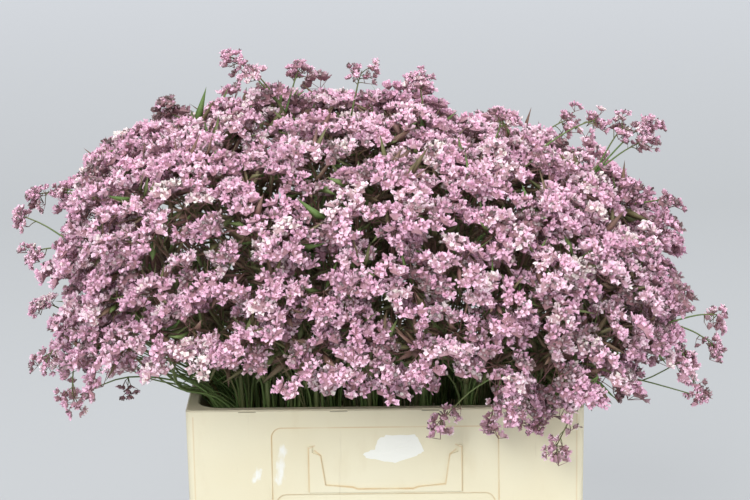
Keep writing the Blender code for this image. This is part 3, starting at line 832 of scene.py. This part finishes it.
def fine_stem(name, stem, looks, rng):
    """One stem with its branches, sprays, leaves and thin stems, in place of its plain solid."""
    skin = Skin()
    main = stem["sprays"][0]
    points = [way_up(stem["spot"], share, stem["depth"]) for share in STEM_SHARES]
    points.append(way_to(stem, main, STEM_SHARES[-1], TWIG_SHARE))
    stalk = stalk_to(main, points)
    add_tubes(skin, stalk, STEM_RADII, rng.random(), (0.0, 0.7), 6)
    add_spray(skin, main, stalk[-2 * CURVE_STEPS:], rng)
    add_blades(skin, main, stalk[-3 * CURVE_STEPS:], rng)
    add_leaves(skin, stalk[-4 * CURVE_STEPS:], rng)
    for order, spray in enumerate(stem["sprays"][1:]):
        fork = FORK_SHARES[order % len(FORK_SHARES)]
        stalk = stalk_to(spray, [way_to(stem, spray, fork, share) for share in (fork, TWIG_SHARE)])
        add_tubes(skin, stalk, BRANCH_RADII, rng.random(), (0.15, 0.7), 5)
        add_spray(skin, spray, stalk[-2 * CURVE_STEPS:], rng)
        add_blades(skin, spray, stalk, rng)
        add_leaves(skin, stalk, rng)
    add_arches(skin, stem, rng)
    for spray in stem["sprays"]:
        add_companion(skin, stem, spray, rng)
        if abs(spray["centre"][0]) > LOW_REACH and spray["centre"][2] < LOW_HEIGHT:
            add_low_stems(skin, spray, rng)
        for place, radius in spray["strays"]:
            add_stray(skin, spray["centre"], place, radius, rng)
    made = skin.piece(name + "_fine", looks)
    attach(made, "root")
    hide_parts(name)


def tone(red, green, blue):
    """A colour given as on a screen, from 0 to 255, as the linear colour that a shader takes."""
    shares = (value / 255 for value in (red, green, blue))
    return tuple(s / 12.92 if s <= 0.04045 else ((s + 0.055) / 1.055) ** 2.4 for s in shares) + (1.0,)


class Look:
    """A material, built by calls that each add a node and give what comes out of it."""

    def __init__(self, name):
        self.material = bpy.data.materials.new(name)
        self.material.use_nodes = True
        self.tree = self.material.node_tree

    def fill(self, sockets, inputs):
        """Link each socket to its input where that comes out of a node, and set it otherwise."""
        for name, value in dict(inputs).items():
            if isinstance(value, bpy.types.NodeSocket):
                self.tree.links.new(value, sockets[name])
            else:
                sockets[name].default_value = value

    def shaded(self, inputs):
        """The material, with these inputs to its shader."""
        self.fill(self.tree.nodes["Principled BSDF"].inputs, inputs)
        return self.material

    def outputs(self, kind, inputs=(), **settings):
        node = self.tree.nodes.new("ShaderNode" + kind)
        for name, value in settings.items():
            setattr(node, name, value)
        self.fill(node.inputs, inputs)
        return node.outputs

    def value(self, operation, *inputs):
        return self.outputs("Math", enumerate(inputs), operation=operation)[0]

    def vector(self, operation, *inputs):
        outputs = self.outputs("VectorMath", enumerate(inputs), operation=operation)
        return outputs["Value" if operation in ("LENGTH", "DOT_PRODUCT") else "Vector"]

    def least(self, values):
        return functools.reduce(lambda a, b: self.value("MINIMUM", a, b), values)

    def mixed(self, share, a, b):
        return self.outputs("Mix", {0: share, 6: a, 7: b}, data_type="RGBA")[2]

    def ramp(self, value, *stops):
        """A ramp over a value, from (place, colour) or (place, shade of grey) stops."""
        node = self.tree.nodes.new("ShaderNodeValToRGB")
        elements = node.color_ramp.elements
        for number, (place, colour) in enumerate(stops):
            element = elements[number] if number < 2 else elements.new(place)
            element.position = place
            element.color = colour if isinstance(colour, tuple) else (colour, colour, colour, 1.0)
        self.fill(node.inputs, {0: value})
        return node.outputs[0]

    def fading(self, distance, inner, outer, most=1.0):
        """The most within the inner distance, and nothing beyond the outer one."""
        inputs = {"Value": distance, "From Min": inner, "From Max": outer, "To Min": most, "To Max": 0.0}
        return self.outputs("MapRange", inputs)[0]

    def object_place(self):
        return self.outputs("TexCoord")["Object"]

    def noise(self, scale, detail, stretch=(1, 1, 1)):
        place = self.outputs("Mapping", {"Vector": self.object_place(), "Scale": stretch})[0]
        return self.outputs("TexNoise", {"Vector": place, "Scale": scale, "Detail": detail})[0]

    def chart(self, slot):
        """The tint and the place along a stalk or floret, from 0 to 1, out of the piece's own map."""
        split = self.outputs("SeparateXYZ", {0: self.outputs("UVMap", uv_map="OFBake")[0]})
        starts, ends = CHART_START[slot], CHART_START[slot] + CHART_HALF
        return [self.fading(split[k], ends[k], starts[k]) for k in (0, 1)]


def stalk_look():
    """Stalks and leaves: green at their roots and dry at their tips, each in a shade of its own."""
    look = Look("statice_stalk")
    tint, place = look.chart(STALK)
    green = look.ramp(place, (0.0, tone(100, 136, 68)), (0.40, tone(112, 96, 68)), (1.0, tone(138, 100, 98)))
    dry = look.ramp(place, (0.0, tone(112, 126, 74)), (0.40, tone(138, 104, 92)), (1.0, tone(158, 108, 120)))
    return look.shaded({"Base Color": look.mixed(tint, green, dry), "Roughness": 0.62})


def floret_look():
    """Papery florets: a brown-mauve calyx, petals in the floret's own tint and a paler throat."""
    look = Look("statice_floret")
    tint, place = look.chart(FLORET)
    petal = look.ramp(
        tint,
        (0.0, tone(92, 74, 70)),
        (0.12, tone(164, 136, 138)),
        (0.28, tone(216, 166, 192)),
        (0.48, tone(244, 196, 221)),
        (0.66, tone(249, 216, 231)),
        (0.85, tone(250, 230, 237)),
        (1.0, tone(244, 236, 228)),
    )
    throat = look.mixed(0.45, petal, tone(246, 230, 234))
    opened = look.ramp(place, (0.6, 0.0), (1.0, 1.0))
    rim = look.ramp(place, (0.05, 0.0), (0.55, 1.0))
    calyx = look.mixed(tint, tone(134, 92, 98), tone(180, 138, 144))
    colour = look.mixed(opened, look.mixed(rim, calyx, petal), throat)
    return look.shaded({"Base Color": colour, "Roughness": 0.78, "Sheen Weight": 0.15})


def to_segment(look, spot, start, end):
    """Distance to the stretch of a line between two (x, z) points of the wall."""
    start, end = (np.array([x, 0.0, z]) for x, z in (start, end))
    along = end - start
    away = look.vector("SUBTRACT", spot, start)
    share = look.vector("DOT_PRODUCT", away, along / along.dot(along))
    share = look.value("MINIMUM", look.value("MAXIMUM", share, 0.0), 1.0)
    return look.vector("LENGTH", look.vector("SUBTRACT", away, look.vector("MULTIPLY", share, along)))


def to_line(look, spot, points):
    """Distance to a line through several points of the wall."""
    return look.least(to_segment(look, spot, start, end) for start, end in zip(points, points[1:]))


def to_frame(look, spot, half_width, bottom, top, corner):
    """Distance to the outline of a rounded panel, for points of the wall near it."""
    middle = (0.0, 0.0, (bottom + top) / 2)
    core = (half_width - corner, 1.0, (top - bottom) / 2 - corner)
    away = look.vector("ABSOLUTE", look.vector("SUBTRACT", spot, middle))
    away = look.vector("MAXIMUM", look.vector("SUBTRACT", away, core), (0.0, 0.0, 0.0))
    return look.value("ABSOLUTE", look.value("SUBTRACT", look.vector("LENGTH", away), corner))


def worn_cream(look):
    """Cream plastic with faint clouds, dirt and upright scuffs."""
    cream = look.ramp(look.noise(9, 3), (0.3, tone(228, 219, 188)), (0.7, tone(232, 225, 197)))
    dirt = look.ramp(look.noise(40, 6, (1, 1, 0.35)), (0.56, 0.0), (0.80, 0.35))
    scuff = look.ramp(look.noise(120, 4, (1, 1, 0.08)), (0.66, 0.0), (0.76, 0.30))
    return look.mixed(scuff, look.mixed(dirt, cream, tone(206, 190, 152)), tone(190, 178, 148))


def line_shade_and_grime(look, wall):
    """Painted shade, partly dirt, in the outlines of panel, grip recess and label holder, and a painted shade
    line by the corners.
    """
    x, z = HOLDER_POCKET[0]
    pocket = ((x + 0.006, z + 0.005), *HOLDER_POCKET, (0.0, HOLDER_POCKET[-1][1]))
    side, top = HOLDER_HALF_WIDTH, HOLDER_TOP
    holder = ((side - 0.006, top), (side, top - 0.002), (side, HOLDER_BOTTOM))
    distance = look.least([
        to_frame(look, wall, PANEL_HALF_WIDTH, PANEL_BOTTOM, PANEL_TOP, PANEL_CORNER),
        to_frame(look, wall, GRIP_HALF_WIDTH, GRIP_BOTTOM, GRIP_TOP, PANEL_CORNER),
        to_line(look, wall, pocket),
        to_line(look, wall, holder),
    ])
    patchy = look.ramp(look.noise(30, 3), (0.35, 0.45), (0.60, 1.0))
    shade_and_grime = look.value("MULTIPLY", look.fading(distance, LINE_WIDTH * 0.3, LINE_WIDTH, 0.75), patchy)
    edge = look.fading(to_line(look, wall, EDGE_LINE), LINE_WIDTH * 0.2, LINE_WIDTH, 0.45)
    return look.value("MAXIMUM", shade_and_grime, edge)


def notch_shadow(look, wall):
    """The shade in the rim's notches."""
    half, low = NOTCH_WIDTH / 2, CRATE_HEIGHT - NOTCH_HEIGHT
    distance = look.least(to_line(look, wall, ((x - half, low), (x + half, low))) for x in NOTCH_PLACES)
    return look.fading(distance, 0.0002, 0.0007, 0.6)


def glare_streaks(look, wall):
    """Painted highlights: pale ragged streaks of glare beside the label."""
    broken = look.ramp(look.noise(260, 3, (1, 1, 0.25)), (0.32, 0.50), (0.52, 1.0))
    ragged = look.value("SUBTRACT", look.noise(190, 4, (1, 1, 0.5)), 0.5)
    ragged = look.value("MULTIPLY", ragged, 0.011)
    streaks = []
    for start, end, half_width in GLARE_STREAKS:
        distance = look.value("ADD", to_segment(look, wall, start, end), ragged)
        streaks.append(look.fading(distance, half_width * 0.3, half_width * 1.2, 0.95))
    return look.value("MULTIPLY", look.value("MAXIMUM", *streaks), broken)


def crate_look():
    """Scuffed cream plastic, with painted shade, partly dirt, along its lines, painted shade in the notches
    and painted highlight streaks on its long walls' outer faces.
    """
    look = Look("crate_plastic_worn")
    x, y, z = look.outputs("SeparateXYZ", {0: look.object_place()})
    taper = look.value("MULTIPLY", look.value("SUBTRACT", CRATE_HEIGHT, z), DRAFT)

    def outside(shade, depth):
        """The shade in the outer part of a long wall, where depth says how far out a point lies."""
        past = look.value("GREATER_THAN", look.value("ADD", depth, taper), CRATE_WIDTH / 2 - WALL * 0.8)
        return look.value("MULTIPLY", shade, past)

    either_depth = look.value("ABSOLUTE", y)
    front_depth = look.value("MULTIPLY", y, -1.0)
    mirrored = look.outputs("CombineXYZ", {0: look.value("ABSOLUTE", x), 2: z})[0]
    wall = look.outputs("CombineXYZ", {0: x, 2: z})[0]
    # Painted shade, partly dirt, along the outlines of panel, grip recess and label holder and along the edge
    # by the corners.
    shade_and_grime = outside(line_shade_and_grime(look, mirrored), either_depth)
    colour = look.mixed(shade_and_grime, worn_cream(look), tone(214, 186, 140))
    colour = look.mixed(outside(notch_shadow(look, mirrored), either_depth), colour, tone(120, 112, 84))
    # Painted highlights: pale streaks of glare beside the label, on the front wall only.
    colour = look.mixed(outside(glare_streaks(look, wall), front_depth), colour, tone(240, 240, 233))
    roughness = look.ramp(look.noise(25, 5), (0.3, 0.34), (0.7, 0.52))
    grain = look.outputs("Bump", {"Strength": 0.25, "Distance": 0.0004, "Height": look.noise(700, 3)})[0]
    return look.shaded({"Base Color": colour, "Roughness": roughness, "Normal": grain})


def make_camera():
    data = bpy.data.cameras.new("camera")
    data.lens = CAMERA_LENS
    data.clip_end = 100
    camera = placed("camera", data)
    tilted = Matrix.Rotation(CAMERA_TURN, 4, "Z") @ Matrix.Rotation(math.pi / 2 - CAMERA_DOWN, 4, "X")
    rolled = tilted @ Matrix.Rotation(-CAMERA_ROLL, 4, "Z")
    camera.matrix_world = Matrix.Translation(CAMERA_PLACE) @ rolled
    bpy.context.scene.camera = camera


def floor_look():
    """Pale paper whose own glow is weakest part of the way back."""
    look = Look("floor_paper")
    depth = look.fading(look.outputs("SeparateXYZ", {0: look.object_place()})[1], FLOOR_FAR, 0.0)
    stops = ((0.0, tone(190, 193, 195)), (0.45, tone(149, 152, 153)), (1.0, tone(184, 187, 193)))
    paper = {"Base Color": tone(140, 142, 144), "Roughness": 0.95}
    return look.shaded({**paper, "Emission Color": look.ramp(depth, *stops), "Emission Strength": 0.6})


def make_studio():
    """A paper floor, three soft lights and an even sky."""
    mesh = bpy.data.meshes.new("floor")
    corners = [(x * FLOOR_HALF, y * FLOOR_HALF, 0) for x, y in ((-1, -1), (1, -1), (1, 1), (-1, 1))]
    mesh.from_pydata(corners, [], [(0, 1, 2, 3)])
    mesh.materials.append(floor_look())
    floor = placed("floor", mesh)
    for name, side, strength, width in LIGHTS:
        light = bpy.data.lights.new(name, "SUN")
        light.energy = strength
        light.angle = math.radians(width)
        placed(name, light).rotation_euler = Vector(side).to_track_quat("Z", "Y").to_euler()
    world = bpy.data.worlds.new("studio")
    world.use_nodes = True
    sky = world.node_tree.nodes["Background"]
    sky.inputs[0].default_value = tone(232, 236, 242)
    sky.inputs[1].default_value = SKY_STRENGTH
    bpy.context.scene.world = world
    bpy.context.scene.view_settings.view_transform = "Standard"


def add_label(rng):
    """What is left of a torn blank label: a thin sheet, slightly creased, on the front's pressed panel."""
    corners = np.array(LABEL)
    share = np.linspace(0, 1, 5)[:-1, None]
    outline = np.vstack([a + (b - a) * share for a, b in zip(corners, np.roll(corners, -1, axis=0))])
    outline += rng.normal(0, LABEL_EDGE_NOISE, outline.shape)
    middle = outline.mean(axis=0)
    rings = [middle + (outline - middle) * share for share in (1.0, 0.62, 0.25)]
    x, z = np.vstack([*rings, middle]).T
    count, size = len(outline), len(x)
    lift = LABEL_THICKNESS * rng.uniform(0.6, 1.4, size)
    lift[:count] = LABEL_THICKNESS * 0.4
    panel = CRATE_WIDTH / 2 - (CRATE_HEIGHT - z) * DRAFT - PANEL_DEPTH
    front = np.column_stack([x, -(panel + lift), z])
    back = np.column_stack([x, -(panel - LABEL_THICKNESS / 2), z])
    sides = [(k, (k + 1) % count) for k in range(count)]
    faces = [(a, b, b + count, a + count) for a, b in sides]
    faces += [(a + count, b + count, b + 2 * count, a + 2 * count) for a, b in sides]
    faces += [(a + 2 * count, b + 2 * count, size - 1) for a, b in sides]
    turned = [tuple(size + v for v in reversed(face)) for face in faces]
    edge = [(b, a, size + a, size + b) for a, b in sides]
    mesh = bpy.data.meshes.new("label_remnant")
    mesh.from_pydata(np.vstack([front, back]), [], [*faces, *turned, *edge])
    mesh.materials.append(Look("label_paper").shaded({"Base Color": tone(240, 240, 231), "Roughness": 0.7}))
    label = placed("label_remnant", mesh)
    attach(label, "root")


def dress_crate():
    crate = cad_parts["crate"]
    look = crate_look()
    for slot in crate.material_slots:
        slot.material = look
    add_label(np.random.default_rng(SEED))


def add_bare_stems(looks, rng):
    """The two long bare stems that leave the crate low at either end."""
    skin = Skin()
    for tip in FORK_TIPS:
        add_tubes(skin, smooth_path([*FORK_STEM, tip]), BARE_RADII, 0.1, (0.0, 0.15), 5)
    add_tubes(skin, smooth_path(SPRIG_STEM), BARE_RADII, 0.2, (0.0, 0.15), 5)
    root = np.array(SPRIG_STEM[-2])
    tips = root + np.array(SPRIG_TUFTS)
    down = np.tile([0.0, -0.2, -0.98], (3, 1))
    roots, tints = np.tile(root, (3, 1)), np.full(3, 0.10)
    add_tufts(skin, tips, down, roots, tints, rng, SPRIG_SIZE, STRAY_CLUSTERS, STRAY_PLACES)
    made = skin.piece("bare_stems", looks)
    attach(made, "root")


def make_statice():
    looks = (stalk_look(), floret_look())
    rng = np.random.default_rng(SEED + 1)
    for number, stem in enumerate(plan_stems(np.random.default_rng(SEED)), 1):
        fine_stem(f"statice_{number:02d}", stem, looks, rng)
    add_bare_stems(looks, rng)


make_camera()
make_studio()
dress_crate()
make_statice()
